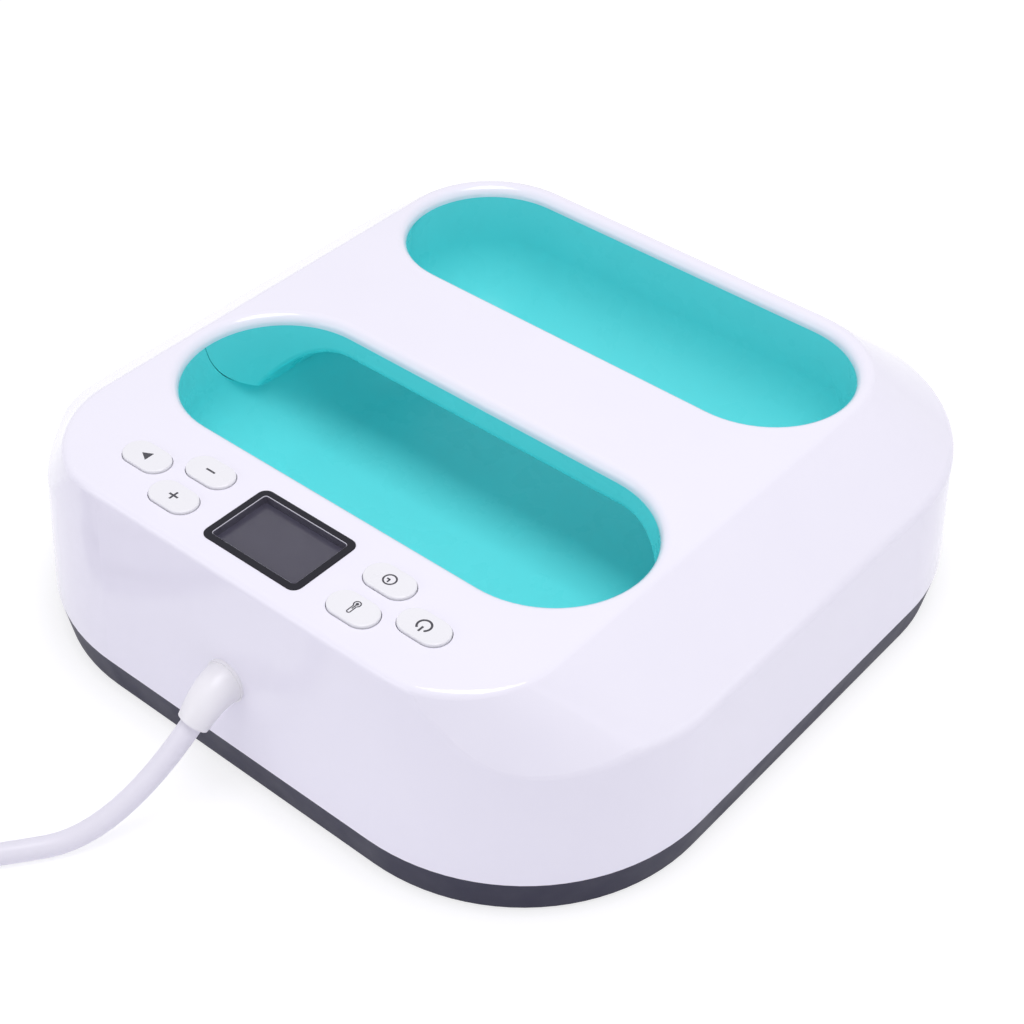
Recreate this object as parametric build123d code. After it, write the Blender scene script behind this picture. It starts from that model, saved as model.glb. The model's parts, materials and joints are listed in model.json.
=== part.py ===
from build123d import *
from collections import namedtuple
import math
import os

# Handheld heat press: a rounded white shell with two turquoise hand wells, a bridge handle
# between them, a control strip along one edge and a square heating plate underneath.
# Millimetres, +Z up. The origin is on the resting face of the heating plate, below the middle
# of the body. +Y is the side with the display, the buttons and the cord.

os.makedirs("parts", exist_ok=True)


def save(shape, node):
    """Write one node of the assembly."""
    export_step(shape, f"parts/{node}.step")
    print(node, "volume", round(shape.volume, 1))


# Driving sizes of the body. The rest follows from the size of the plate
plate_half = 127.0  # half side of the square heating plate
side_margin = 17.7  # from the edge of the plate to the lower edge of the shell, at the sides
end_margin = 21.9  # the same at the front and at the back
split_half_x = plate_half + side_margin  # half width at the line between frame and shell
split_half_y = plate_half + end_margin  # half depth at the same line
split_corner = 80.0  # corner radius at the same line
split_z = 16.0  # height of the line between frame and shell
top_z = 94.0  # height of the flat top
wall = 2.4  # moulded wall thickness of the plastic covers
wall_draft = 0.059  # inward lean of the side walls, per mm of height
frame_tuck = 2.4  # the base frame narrows by this much towards its lower edge
plate_proud = 1.5  # the heating plate stands this far below the base frame
over = 1.0  # cutting shapes pass the faces that they cut by this much

# The flat top and the slopes that fall from it to the shoulders
top_side = 37.7  # from the lower edge of the shell in to the flat top, at the sides
top_back = 38.6  # the same at the back
top_past_front = 0.8  # the flat top passes the front wall, so that its edge runs out there
top_front_corner = 42.8
slope_drop = 42.6  # the slopes are drawn down to this far below the flat top
slope_run = 53.2  # and run outwards by this much over that drop
slope_past_front = 11.1  # their foot passes the lower edge of the shell in front
slope_corner_length = 92.0  # their foot starts to bend in this far behind its front
slope_bend = [(-70.0, -9.0), (-43.0, -28.5), (-10.5, -62.5)]  # the bend, seen from its square corner
top_half_x = split_half_x - top_side
top_back_y = top_back - split_half_y
top_front_y = split_half_y - wall_draft * (top_z - split_z) + top_past_front
slope_front_y = split_half_y + slope_past_front

# The two hand wells, stadium outlines along X, and the handle left between them
well_margin = 25.3  # from the edge of the plate in to the ends of the wells
strip_depth = 56.4  # from the front edge of the shell to the near well
back_depth = 44.0  # from the back edge of the shell to the far well
handle_width = 51.5
handle_middle_y = -8.15
well_half_x = plate_half - well_margin
near_well_y = (handle_middle_y + handle_width / 2, split_half_y - strip_depth)
far_well_y = (back_depth - split_half_y, handle_middle_y - handle_width / 2)
near_well_round = (near_well_y[1] - near_well_y[0]) / 2
far_well_round = (far_well_y[1] - far_well_y[0]) / 2
back_corner_rim = 4.5  # the flat top's back corners are rounder than the far well by this much
top_back_corner = far_well_round + back_corner_rim
lip_radius = 4.0  # rolled edge of the shell round each well
lip_edge = 0.4  # upright edge below the rolled one
lip_z = top_z - lip_radius - lip_edge  # the turquoise pieces begin here
top_round = 3.0  # rounding of the edge of the flat top
shoulder_round = 6.0  # rounding of the crease between slopes and walls
bowl_floor_z = 38.0
bowl_end_flat = 5.5  # what is left of the far well's half width beside the scoop radius
bowl_round = far_well_round - bowl_end_flat  # scoop between floor and walls
handle_depth = 11.1  # from the lips down to the underside of the handle
handle_edge = 4.0  # rounding of the lower edges of the handle
tunnel_top_z = lip_z - handle_depth
tunnel_round = 34.0
tunnel_depth = 80.0  # the tunnel is drawn down to well below the seam
seam_past_middle = 2.95  # the handle lining passes the middle of the near well's ends
seam_half_y = near_well_y[0] + near_well_round + seam_past_middle
seam_drop = 20.5  # from the underside of the handle to the lowest edge of the lining
seam_z = tunnel_top_z - seam_drop
seam_round = 38.0
seam_gap = 0.3  # visible parting line between the two turquoise pieces


def four_corners(half_x, half_y):
    """The four sign combinations of a place."""
    return [(sx * half_x, sy * half_y) for sx in (-1, 1) for sy in (-1, 1)]


# Control strip
button_length = 20.0
button_width = 12.0
button_gap = 0.3  # all round, in the holes of the shell
button_proud = 1.2
button_travel = 0.8
button_flange = 1.3  # retaining rim under the shell, beyond the cap
skin_z = top_z - wall  # underside of the flat top
strip_inset = 29.0  # from the front edge of the shell to the middle line of the control strip
strip_y = split_half_y - strip_inset
outer_button_x = 64.8
inner_button_x = 42.0
button_row = 8.7  # the inner buttons stand this far before and behind the middle line
button_places = {
    "power_button": (-outer_button_x, strip_y),
    "timer_button": (-inner_button_x, strip_y - button_row),
    "temperature_button": (-inner_button_x, strip_y + button_row),
    "plus_button": (inner_button_x, strip_y + button_row),
    "minus_button": (inner_button_x, strip_y - button_row),
    "start_button": (outer_button_x, strip_y),
}
display_size = (43.0, 30.0)
display_fit = 0.1
window_size = (38.6, 25.6)
window_recess = 1.5
window_thickness = 1.5
board_drop = 14.0  # from the flat top to the underside of the control board
board_z = top_z - board_drop
board_thickness = 1.6
board_past_button = 11.2  # the board passes the middle of the outer buttons
board_half_x = outer_button_x + board_past_button
board_y = (strip_y - 13.7, strip_y + 13.3)
board_boss_inset = 3.1  # from the board's edges to the middle of each fixing hole
board_bosses = [(side * (board_half_x - board_boss_inset), y) for side in (-1, 1)
                for y in (board_y[0] + board_boss_inset, board_y[1] - board_boss_inset)]

# Fastening places
cord_x = 2.2
cord_z = 46.2
relief_neck = 6.0  # radius of the hole for the strain relief
shell_boss_radius = 4.0
shell_boss_inset = 11.3  # from the front and back edges of the shell
corner_boss_inset = 9.0  # from the corners of the shell
middle_boss_x = 60.0
corner_boss = math.sqrt(0.5) * (split_corner - corner_boss_inset) - split_corner
shell_bosses = four_corners(middle_boss_x, split_half_y - shell_boss_inset) + four_corners(
    split_half_x + corner_boss, split_half_y + corner_boss)
liner_boss_x = 58.0
liner_boss_gap = 9.0  # from the wells to the middle of the screws beside them
liner_boss_y = (near_well_y[1] + liner_boss_gap, far_well_y[0] - liner_boss_gap)
liner_bosses = [(side * liner_boss_x, y) for y in liner_boss_y for side in (-1, 1)]
liner_lug_drop = 32.0
liner_lug_z = top_z - liner_lug_drop
handle_screw_x = 45.0
handle_screw_y = 12.0
handle_bosses = [(x, handle_middle_y + y) for x, y in four_corners(handle_screw_x, handle_screw_y)]
handle_boss_height = 7.5
handle_boss_z = tunnel_top_z + handle_boss_height

# Base frame and heating plate
frame_floor_z = 5.5
ledge_z = 12.5  # underside of the ledge over the edge of the plate
corner_margin = 20.0  # the plate's corner radius is this much smaller than that of the body
plate_corner = split_corner - corner_margin
plate_thickness = 8.0
plate_edge = 1.5
plate_gap = 2.5
skirt = 2.5  # thickness of the inner skirt of the frame
cavity_half = plate_half + plate_gap
skirt_half = cavity_half + skirt
ledge_width = 19.0  # the ledge covers this much of the plate's edge
opening_half = plate_half - ledge_width
opening_corner = plate_corner - ledge_width + 3.0
post_inset = 6.5  # from the edge of the plate
post_spread = 55.0
post_far = plate_half - post_inset
plate_posts = four_corners(post_far, post_spread) + four_corners(post_spread, post_far)

# Screws: radius of the shank, radius and height of the head
Screw = namedtuple("Screw", "shank head head_height")
small_screw = Screw(1.5, 2.8, 2.0)
board_screw = Screw(1.25, 2.5, 1.8)
plate_screw = Screw(2.0, 3.6, 2.6)
recess_span = 1.1  # width over the arms of the cross recess, per mm of head radius
recess_slot = 0.25  # width of each arm, likewise
recess_depth = 0.55  # depth of the recess, per mm of head height
shell_screw_length = 14.0
liner_screw_length = 12.0
handle_screw_length = 7.0
shield_screw_length = 4.2
board_screw_length = 7.6
clamp_screw_length = 13.0
screw_end = 0.4  # left free below the end of a screw in a blind hole
hole_fit = 0.15  # around a shank in a plain hole
thread_fit = 0.05  # around a shank in a threaded hole
head_fit = 0.3  # around a head in its counterbore
screw_bite = 15.0  # depth of the threaded holes in the shell for the liner
shell_bite = 6.0  # the threaded holes for the shell screws reach this far above the split
saddle_bite = 13.0  # depth of the threaded holes for the cord clamp
post_bite = 9.0  # depth of the threaded holes in the posts of the power board
small_boss_radius = 3.5
board_boss_radius = 3.0
lining_boss_radius = 4.6
lining_seat = 2.0  # thickness under the head of a handle screw
lug_radius = 5.0
lug_thickness = 3.0
lug_reach = 12.0  # from the bowl to the middle of each lug's hole
shell_screw_seat = plate_proud + 2.2
rim_width = 4.3  # top face of the frame, where the shell stands on it
plate_hole_z = 3.0  # bottom of the blind holes in the plate
post_radius = 5.0

# Heater pack on the plate, from below upwards
heater_inset = 24.0  # from the edge of the plate to the edge of the pack
heater_half = plate_half - heater_inset
pack_corner = plate_corner - 18.0
heater_thickness = 1.5
clamp_sheet = 1.5
blanket_thickness = 10.0
shield_thickness = 1.0
shield_gap = 1.5  # between the edge of the blanket and the shield
flange_inset = 12.5  # from the edge of the plate to the edge of the shield's flange
shield_flange_half = plate_half - flange_inset
element_z = plate_thickness
clamp_z = element_z + heater_thickness
blanket_z = clamp_z + clamp_sheet
shield_z = blanket_z + blanket_thickness
clamp_screw_inset = 25.0  # from the edge of the pack
clamp_screws = [(0.0, 0.0)] + four_corners(heater_half - clamp_screw_inset, heater_half - clamp_screw_inset)
shield_screw_inset = 3.3  # from the edge of the flange
shield_far = shield_flange_half - shield_screw_inset
shield_screws = [(-shield_far, 0.0), (shield_far, 0.0), (0.0, -shield_far), (0.0, shield_far)]
terminal_x = (-52.0, -38.0)
terminal_inset = 6.0  # from the edge of the pack
terminal_y = heater_half - terminal_inset
terminal_radius = 2.5
terminal_hole = 4.5
terminal_top_z = 24.0
heater_lead_radius = 1.6
sensor_x = -72.0
sensor_inset = 12.0  # from the edge of the pack
sensor_y = heater_half - sensor_inset
sensor_radius = 4.0
sensor_height = 6.0
cutout_x = -24.5
cutout_radius = 7.0
cutout_height = 7.0
cutout_lead_spread = 2.2
sensor_lead_radius = 1.1
sensor_clearance = 1.0  # around both sensors in blanket and shield
pack_holes = [(x, terminal_y, terminal_hole) for x in terminal_x] + [
    (sensor_x, sensor_y, sensor_radius + sensor_clearance),
    (cutout_x, sensor_y, cutout_radius + sensor_clearance)]
head_pocket = 0.6  # around the screw heads in the blanket

# Power board on its four posts, behind the place where the cord comes in
power_board_x = (-86.0, -18.0)
power_board_y = (skirt_half - 18.0, skirt_half + 9.0)
power_board_z = 27.0
power_posts = [(x, skirt_half + y) for x in (-80.0, -22.5) for y in (-10.5, 5.2)]
power_post_radius = 3.2
board_notch = 1.0  # around the screw boss that passes the board
terminal_block_x = (-34.5, -26.5)
terminal_block_y = (skirt_half - 13.6, skirt_half - 5.6)
terminal_block_height = 10.0
supply_x = (-76.8, -57.0)
supply_y = (skirt_half - 13.0, skirt_half - 1.0)
supply_height = 13.0
relay_x = (-48.5, -36.0)
relay_y = (skirt_half - 10.5, skirt_half + 5.0)
relay_height = 12.0
fuse_place = (-52.2, skirt_half - 1.5)
fuse_radius = 2.3
fuse_length = 18.0
buzzer_place = (-71.5, skirt_half + 4.0)
buzzer_radius = 4.4
buzzer_height = 7.0
ribbon_x = (-49.2, -40.8)
ribbon_y = (skirt_half - 17.0, skirt_half - 15.8)
lead_y = skirt_half - 15.5  # the leads of the heater pack land on the power board here
wire_radius = 1.0
wire_pitch = 2.3
wire_bend = 4.0

# Cord entry
cord_radius = 4.0
notch_radius = cord_radius + 0.05
saddle_half_x = 16.0
saddle_y = (skirt_half + 2.0, skirt_half + 8.0)
saddle_middle_y = (saddle_y[0] + saddle_y[1]) / 2
clamp_screw_x = (cord_x - 11.0, cord_x + 11.0)
clamp_thickness = 2.5
clamp_inset = 0.5  # the strap is narrower than the saddle
clamp_half_x = 14.5
clamp_arch = 2.2  # thickness of the strap over the cord
tail_past_saddle = 4.0
tail_end_y = saddle_y[0] - tail_past_saddle
relief_inner_y = saddle_y[1] + 1.9
relief_flange_radius = 8.5
relief_flange_thickness = 3.6  # drawn into the wall, which is then cut away
relief_collar_inset = 1.0  # the collar ends just outside the leaning wall
relief_collar_y = split_half_y - relief_collar_inset
relief_collar_length = 3.0
relief_collar_radius = 8.5
relief_root_radius = 8.0
relief_tip_radius = 5.85
relief_tip = (cord_x, split_half_y + 14.6, 38.5)
relief_rings = 7
relief_mouth = 0.35  # gap around the cord in the end of the boot
relief_mouth_depth = 1.0

# Buttons, their switches and the display
rim_thickness = 1.5
switch_height = 3.5
switch_half = 3.0
plunger_height = 1.0
plunger_radius = 1.7
plunger_z = board_z + board_thickness + switch_height + plunger_height
stem_gap = button_travel + 0.1
stem_radius = 2.0
button_edge = 0.6
button_top_thickness = 1.4
display_corner = 2.5
bezel_proud = 0.3
bezel_rim = 2.0
bezel_edge = 0.25
sill_bevel = 0.7  # slanted sill round the window
window_corner = 1.2
window_edge = 1.1  # the window reaches this far under the bezel
window_fit = 0.1
window_top_z = top_z + bezel_proud - window_recess
module_size = (40.6, 26.6)

# Cord outside, from the boot to the coil. Middle line, in order
cord_bend = (9.2, split_half_y + 47.1, cord_radius)
cord_points = [relief_tip, cord_bend, (37.5, split_half_y + 86.4, cord_radius),
               (64.8, split_half_y + 112.8, cord_radius), (92.3, split_half_y + 132.8, cord_radius)]
cord_heading = (Vector(*cord_bend) - Vector(*relief_tip)).normalized()
coil_heading = (Vector(*cord_points[-1]) - Vector(*cord_points[-2])).normalized()
coil_radius = 57.0
coil_pitch = 8.7  # from turn to turn, and from layer to layer
coil_bottom_halves = 6  # half turns of the lower layer
coil_straight = 8.0
plug_straight = 36.0  # the cord runs this far past the turns before the plug
bend_share = 0.45  # share of the shorter run that each bend takes up

# Plug
plug_neck = [(0.0, 5.0), (6.0, 6.5), (14.0, 9.0)]  # distance from the cord, radius
plug_width = 25.0
plug_height = 24.6
plug_corner = 8.0
plug_length = 24.0
plug_edge = 2.0
pin_spacing = 12.7
pin_row = 4.0  # height of the two blades above the middle of the plug
blade_thickness = 1.5
blade_width = 6.3
blade_length = 17.5
ground_drop = 11.9
ground_radius = 2.4
ground_length = 20.5


def rounded_outline(half_x, back_y, front_y, back_corner, front_corner, z):
    """Closed outline of a rectangle with its own corner radii at the back and at the front."""
    right_back = (half_x - back_corner, back_y + back_corner)
    right_front = (half_x - front_corner, front_y - front_corner)
    edges = [
        Line((-right_front[0], front_y, z), (right_front[0], front_y, z)),
        CenterArc((right_front[0], right_front[1], z), front_corner, 90, -90),
        Line((half_x, right_front[1], z), (half_x, right_back[1], z)),
        CenterArc((right_back[0], right_back[1], z), back_corner, 0, -90),
        Line((right_back[0], back_y, z), (-right_back[0], back_y, z)),
        CenterArc((-right_back[0], right_back[1], z), back_corner, 270, -90),
        Line((-half_x, right_back[1], z), (-half_x, right_front[1], z)),
        CenterArc((-right_front[0], right_front[1], z), front_corner, 180, -90),
    ]
    return Wire(edges)


def rounded_prism(half_x, back_y, front_y, corner, z_low, z_high, front_corner=None):
    """Straight-walled block on a rounded rectangle."""
    outline = rounded_outline(half_x, back_y, front_y, corner, front_corner or corner, z_low)
    return extrude(Face(outline), amount=z_high - z_low, dir=(0, 0, 1))


def drafted_block(inset, z_low, z_high):
    """Block with the leaning side walls of the shell, moved inwards by an inset."""
    outlines = []
    for z in (z_low, z_high):
        lean = inset + wall_draft * (z - split_z)
        outlines.append(rounded_outline(split_half_x - lean, -split_half_y + lean, split_half_y - lean,
                                        split_corner - lean, split_corner - lean, z))
    return Solid.make_loft(outlines, ruled=True)


def slope_outline(inset, z):
    """Lower outline of the slopes: square along the sides, cut back at the two front corners."""
    half_x = top_half_x + slope_run - inset
    back_y = top_back_y - slope_run + inset
    front_y = slope_front_y - inset
    corner = top_back_corner + slope_run - inset
    side_y = front_y - slope_corner_length
    front_x = top_half_x - top_front_corner
    bend = [(front_x, front_y)] + [(half_x + x, front_y + y) for x, y in slope_bend] + [(half_x, side_y)]
    right = Spline([(x, y, z) for x, y in bend], tangents=[(1, 0, 0), (0, -1, 0)])
    left = Spline([(-x, y, z) for x, y in reversed(bend)], tangents=[(0, 1, 0), (1, 0, 0)])
    right_back = (half_x - corner, back_y + corner)
    edges = [
        Line((-front_x, front_y, z), (front_x, front_y, z)),
        right,
        Line((half_x, side_y, z), (half_x, right_back[1], z)),
        CenterArc((right_back[0], right_back[1], z), corner, 0, -90),
        Line((right_back[0], back_y, z), (-right_back[0], back_y, z)),
        CenterArc((-right_back[0], right_back[1], z), corner, 270, -90),
        Line((-half_x, right_back[1], z), (-half_x, side_y, z)),
        left,
    ]
    return Wire(edges)


def body_block(inset, z_low):
    """Solid outer form of the shell, or with an inset the space inside it."""
    lowered = 1.0 * inset
    drawn_in = 0.5 * inset
    walls = drafted_block(inset, z_low, top_z + wall)
    flat_top = rounded_outline(top_half_x - drawn_in, top_back_y + drawn_in, top_front_y - drawn_in,
                               top_back_corner - drawn_in, top_front_corner - drawn_in, top_z - lowered)
    foot_z = top_z - slope_drop - lowered
    slopes = Solid.make_loft([slope_outline(drawn_in, foot_z), flat_top], ruled=True)
    below = box_between((-2 * split_half_x, 2 * split_half_x), (-2 * split_half_y, 2 * split_half_y),
                        (z_low, foot_z))
    return walls & (slopes + below)


def stadium_prism(centre, length, width, z_low, z_high):
    """Upright block with two half-round ends, long side along X."""
    sketch = Pos(centre[0], centre[1], z_low) * SlotOverall(length, width)
    return extrude(sketch, amount=z_high - z_low)


def well_prism(y_range, grow, z_low, z_high):
    """The space of one hand well, made larger all round by an amount."""
    middle = (y_range[0] + y_range[1]) / 2
    width = y_range[1] - y_range[0] + 2 * grow
    return stadium_prism((0, middle), 2 * (well_half_x + grow), width, z_low, z_high)


def round_bar(x, y, z_low, z_high, radius):
    """Upright cylinder between two heights."""
    return Pos(x, y, (z_low + z_high) / 2) * Cylinder(radius, z_high - z_low)


def hole(x, y, z_low, z_high, radius):
    """Tool for a round hole that is open at both ends."""
    return round_bar(x, y, z_low - over, z_high + over, radius)


def box_between(x_range, y_range, z_range):
    """Box given by its extent along each axis."""
    size = [b - a for a, b in (x_range, y_range, z_range)]
    middle = [(a + b) / 2 for a, b in (x_range, y_range, z_range)]
    return Pos(*middle) * Box(*size)


def screw(x, y, seat_z, length, shank, head, head_height, up=1):
    """Pan-head screw with a cross recess. up is +1 with the head above its seat, -1 below."""
    head_z = (seat_z, seat_z + up * head_height)
    body = round_bar(x, y, min(head_z), max(head_z), head)
    shank_z = (seat_z, seat_z - up * length)
    body += round_bar(x, y, min(shank_z), max(shank_z), shank)
    recess_z = seat_z + up * head_height
    span = recess_span * head
    slot = recess_slot * head
    depth = recess_depth * head_height
    body -= Pos(x, y, recess_z) * (Box(span, slot, 2 * depth) + Box(slot, span, 2 * depth))
    return body


def make_shell():
    """White upper shell with rolled lips round the wells and the holes of the control strip."""
    outer = body_block(0.0, split_z)
    shoulder_edges = [e for e in outer.edges()
                      if split_z + over < e.bounding_box().min.Z < top_z - over]
    outer = fillet(shoulder_edges, shoulder_round)
    top_edges = [e for e in outer.edges() if e.bounding_box().min.Z > top_z - 0.01]
    outer = fillet(top_edges, top_round)
    cavity = body_block(wall, split_z)
    for y_range in (near_well_y, far_well_y):
        cavity -= well_prism(y_range, wall, lip_z, top_z)
    for x, y in board_bosses:
        cavity -= round_bar(x, y, board_z + board_thickness, top_z, board_boss_radius)
    for x, y in liner_bosses:
        cavity -= round_bar(x, y, liner_lug_z + lug_thickness, top_z, small_boss_radius)
    for x, y in handle_bosses:
        cavity -= round_bar(x, y, handle_boss_z, top_z, small_boss_radius)
    for x, y in shell_bosses:
        cavity -= round_bar(x, y, split_z, top_z, shell_boss_radius)
    shell = outer - cavity
    for x, y in shell_bosses:
        shell += round_bar(x, y, frame_floor_z, split_z, shell_boss_radius)
    for y_range in (near_well_y, far_well_y):
        shell -= well_prism(y_range, 0.0, split_z, top_z + over)
    lip_edges = [e for e in shell.edges().filter_by_position(Axis.Z, top_z - 0.01, top_z + 0.01)
                 if abs(e.center().X) < well_half_x and far_well_y[0] - over < e.center().Y < near_well_y[1] + over]
    shell = fillet(lip_edges, lip_radius)
    for x, y in board_bosses:
        shell -= round_bar(x, y, board_z, skin_z, board_screw.shank + thread_fit)
    for x, y in liner_bosses:
        shell -= round_bar(x, y, liner_lug_z, liner_lug_z + screw_bite, small_screw.shank + thread_fit)
    for x, y in handle_bosses:
        shell -= round_bar(x, y, handle_boss_z - over, skin_z, small_screw.shank + thread_fit)
    for x, y in shell_bosses:
        shell -= round_bar(x, y, frame_floor_z - over, split_z + shell_bite, small_screw.shank + thread_fit)
    for place in button_places.values():
        shell -= stadium_prism(place, button_length + 2 * button_gap, button_width + 2 * button_gap,
                               skin_z - over, top_z + over)
    opening = [d + 2 * display_fit for d in display_size]
    shell -= slab(opening, display_corner + display_fit, skin_z - over, top_z + over)
    return shell - bar_along_y(saddle_y[1], split_half_y + over, relief_neck)


def seam_prism(inset):
    """Block along X whose rounded lower corners follow the seam on the ends of the wells."""
    half_y = seam_half_y - inset
    corner = seam_round - inset
    low = seam_z + inset
    corner_y = half_y - corner
    corner_z = low + corner
    high = top_z + seam_round
    diagonal = corner * math.sqrt(0.5)
    arc_y = corner_y + diagonal
    arc_z = corner_z - diagonal
    profile = Wire([
        Line((0, -half_y, high), (0, -half_y, corner_z)),
        ThreePointArc((0, -half_y, corner_z), (0, -arc_y, arc_z), (0, -corner_y, low)),
        Line((0, -corner_y, low), (0, corner_y, low)),
        ThreePointArc((0, corner_y, low), (0, arc_y, arc_z), (0, half_y, corner_z)),
        Line((0, half_y, corner_z), (0, half_y, high)),
        Line((0, half_y, high), (0, -half_y, high)),
    ])
    half_x = well_half_x + wall - inset
    return Pos(-half_x, 0, 0) * extrude(Face(profile), amount=2 * half_x, dir=(1, 0, 0))


def tunnel_prism(grow):
    """The finger tunnel, arched at both ends, along Y right through the body."""
    sketch = RectangleRounded(2 * (well_half_x + grow), tunnel_depth, tunnel_round + grow)
    upright = Plane.XZ * Pos(0, tunnel_top_z + grow - tunnel_depth / 2) * sketch
    return extrude(upright, amount=split_half_y, both=True)


def tunnel_edges(block, y_range):
    """Edges where the tunnel opens into one well: on the wall of the well and on that of the tunnel."""
    middle_y = (y_range[0] + y_range[1]) / 2
    end_radius = (y_range[1] - y_range[0]) / 2
    end_x = well_half_x - end_radius
    found = []
    for edge in block.edges():
        place = edge @ 0.5
        from_axis = math.hypot(max(abs(place.X) - end_x, 0.0), place.Y - middle_y)
        below = edge.bounding_box().max.Z < lip_z
        on_seam = abs(edge.bounding_box().min.Z - seam_z) < 0.01
        if abs(from_axis - end_radius) < 0.01 and below and not on_seam:
            found.append(edge)
    return found


def handle_block(inset):
    """Solid form of the handle lining, or with an inset the space inside it."""
    block = seam_prism(inset) - tunnel_prism(inset)
    for y_range in (near_well_y, far_well_y):
        block -= well_prism(y_range, inset, split_z, top_z + seam_round)
    return block


def make_handle_underside():
    """Turquoise lining of the handle: its sides and underside, flaring into the ends of the wells."""
    lining = handle_block(0.0)
    lining = fillet(tunnel_edges(lining, near_well_y) + tunnel_edges(lining, far_well_y), handle_edge)
    lining -= handle_block(wall)
    lining -= box_between((-split_half_x, split_half_x), (-split_half_y, split_half_y),
                          (lip_z, top_z + 2 * seam_round))
    seat_z = handle_boss_z - lining_seat
    for x, y in handle_bosses:
        lining += round_bar(x, y, tunnel_top_z, handle_boss_z, lining_boss_radius)
        lining -= round_bar(x, y, tunnel_top_z - over, seat_z, small_screw.head + head_fit)
        lining -= round_bar(x, y, tunnel_top_z, handle_boss_z + over, small_screw.shank + hole_fit)
    return lining


def bowl_block(grow, z_high):
    """The scoop that both wells and the tunnel share, with a large radius round its floor."""
    low = bowl_floor_z - grow
    outline = rounded_outline(well_half_x + grow, far_well_y[0] - grow, near_well_y[1] + grow,
                              far_well_round + grow, near_well_round + grow, low)
    block = extrude(Face(outline), amount=z_high - low, dir=(0, 0, 1))
    return fillet(block.edges().group_by(Axis.Z)[0], bowl_round + grow)


def make_well_liner():
    """Turquoise bowl under both wells, with four lugs that are screwed to the shell."""
    liner = bowl_block(wall, lip_z)
    for x, y in liner_bosses:
        root_y = y - math.copysign(lug_reach, y)
        liner += box_between((x - lug_radius, x + lug_radius), (min(y, root_y), max(y, root_y)),
                             (liner_lug_z, liner_lug_z + lug_thickness))
        liner += round_bar(x, y, liner_lug_z, liner_lug_z + lug_thickness, lug_radius)
    liner -= bowl_block(0.0, lip_z + over)
    liner -= seam_prism(-seam_gap)
    for x, y in liner_bosses:
        liner -= hole(x, y, liner_lug_z, liner_lug_z + lug_thickness, small_screw.shank + hole_fit)
    return liner


def make_base_frame():
    """Charcoal base frame: outer wall, floor, skirt round the plate and the ledge above its edge."""
    foot_x = split_half_x - frame_tuck
    foot_y = split_half_y - frame_tuck
    foot_corner = split_corner - frame_tuck
    lower = rounded_outline(foot_x, -foot_y, foot_y, foot_corner, foot_corner, plate_proud)
    upper = rounded_outline(split_half_x, -split_half_y, split_half_y, split_corner, split_corner, split_z)
    frame = Solid.make_loft([lower, upper], ruled=True)
    channel = rounded_prism(split_half_x - rim_width, -split_half_y + rim_width, split_half_y - rim_width,
                            split_corner - rim_width, frame_floor_z, split_z + over)
    channel -= rounded_prism(skirt_half, -skirt_half, skirt_half, plate_corner + plate_gap + skirt,
                             frame_floor_z - over, split_z + shield_thickness + over)
    frame -= channel
    frame -= rounded_prism(cavity_half, -cavity_half, cavity_half, plate_corner + plate_gap, 0, ledge_z)
    frame -= rounded_prism(opening_half, -opening_half, opening_half, opening_corner, 0, split_z + over)
    thread = board_screw.shank + thread_fit
    for x, y in power_posts:
        foot = frame_floor_z if y > skirt_half else split_z
        frame += round_bar(x, y, foot, power_board_z, power_post_radius)
        frame -= round_bar(x, y, power_board_z - post_bite, power_board_z + over, thread)
    frame += box_between((cord_x - saddle_half_x, cord_x + saddle_half_x), saddle_y, (frame_floor_z, cord_z))
    frame -= bar_along_y(saddle_y[0] - over, saddle_y[1] + over, notch_radius)
    for x in clamp_screw_x:
        frame -= round_bar(x, saddle_middle_y, cord_z - saddle_bite, cord_z + over, thread)
    for x, y in shell_bosses:
        frame -= hole(x, y, plate_proud, frame_floor_z, small_screw.shank + hole_fit)
        frame -= round_bar(x, y, plate_proud - over, shell_screw_seat, small_screw.head + head_fit)
    for x, y in plate_posts:
        frame -= hole(x, y, ledge_z, split_z, plate_screw.shank + hole_fit)
    for x, y in shield_screws:
        frame -= hole(x, y, ledge_z, split_z, small_screw.shank + thread_fit)
    return frame


def make_heating_plate():
    """Flat coated plate with rounded lower edge and blind threaded holes."""
    plate = rounded_prism(plate_half, -plate_half, plate_half, plate_corner, 0, plate_thickness)
    plate = fillet(plate.edges().group_by(Axis.Z)[0], plate_edge)
    for x, y in plate_posts + clamp_screws:
        plate -= round_bar(x, y, plate_hole_z, plate_thickness + over, plate_screw.shank + thread_fit)
    return plate


def pack_layer(grow, z_low, z_high):
    """One flat layer of the heater pack."""
    half = heater_half + grow
    return rounded_prism(half, -half, half, pack_corner + grow, z_low, z_high)


def make_heating_element():
    """Flat mica element with two terminal studs."""
    element = pack_layer(0.0, element_z, clamp_z)
    for x, y in clamp_screws:
        element -= hole(x, y, element_z, clamp_z, plate_screw.shank + hole_fit)
    for x in terminal_x:
        element += round_bar(x, terminal_y, clamp_z, terminal_top_z, terminal_radius)
    return element


def make_clamp_plate():
    """Steel sheet that presses the element flat."""
    sheet = pack_layer(0.0, clamp_z, blanket_z)
    for x, y in clamp_screws:
        sheet -= hole(x, y, clamp_z, blanket_z, plate_screw.shank + hole_fit)
    for x in terminal_x:
        sheet -= round_bar(x, terminal_y, clamp_z - over, blanket_z + over, terminal_hole)
    return sheet


def make_blanket():
    """Thick fibre blanket with pockets for the screw heads, the studs and the two sensors."""
    blanket = pack_layer(0.0, blanket_z, shield_z)
    for x, y in clamp_screws:
        blanket -= round_bar(x, y, blanket_z - over, blanket_z + plate_screw.head_height + head_pocket,
                             plate_screw.head + head_pocket)
    for x, y, radius in pack_holes:
        blanket -= hole(x, y, blanket_z, shield_z, radius)
    return blanket


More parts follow.
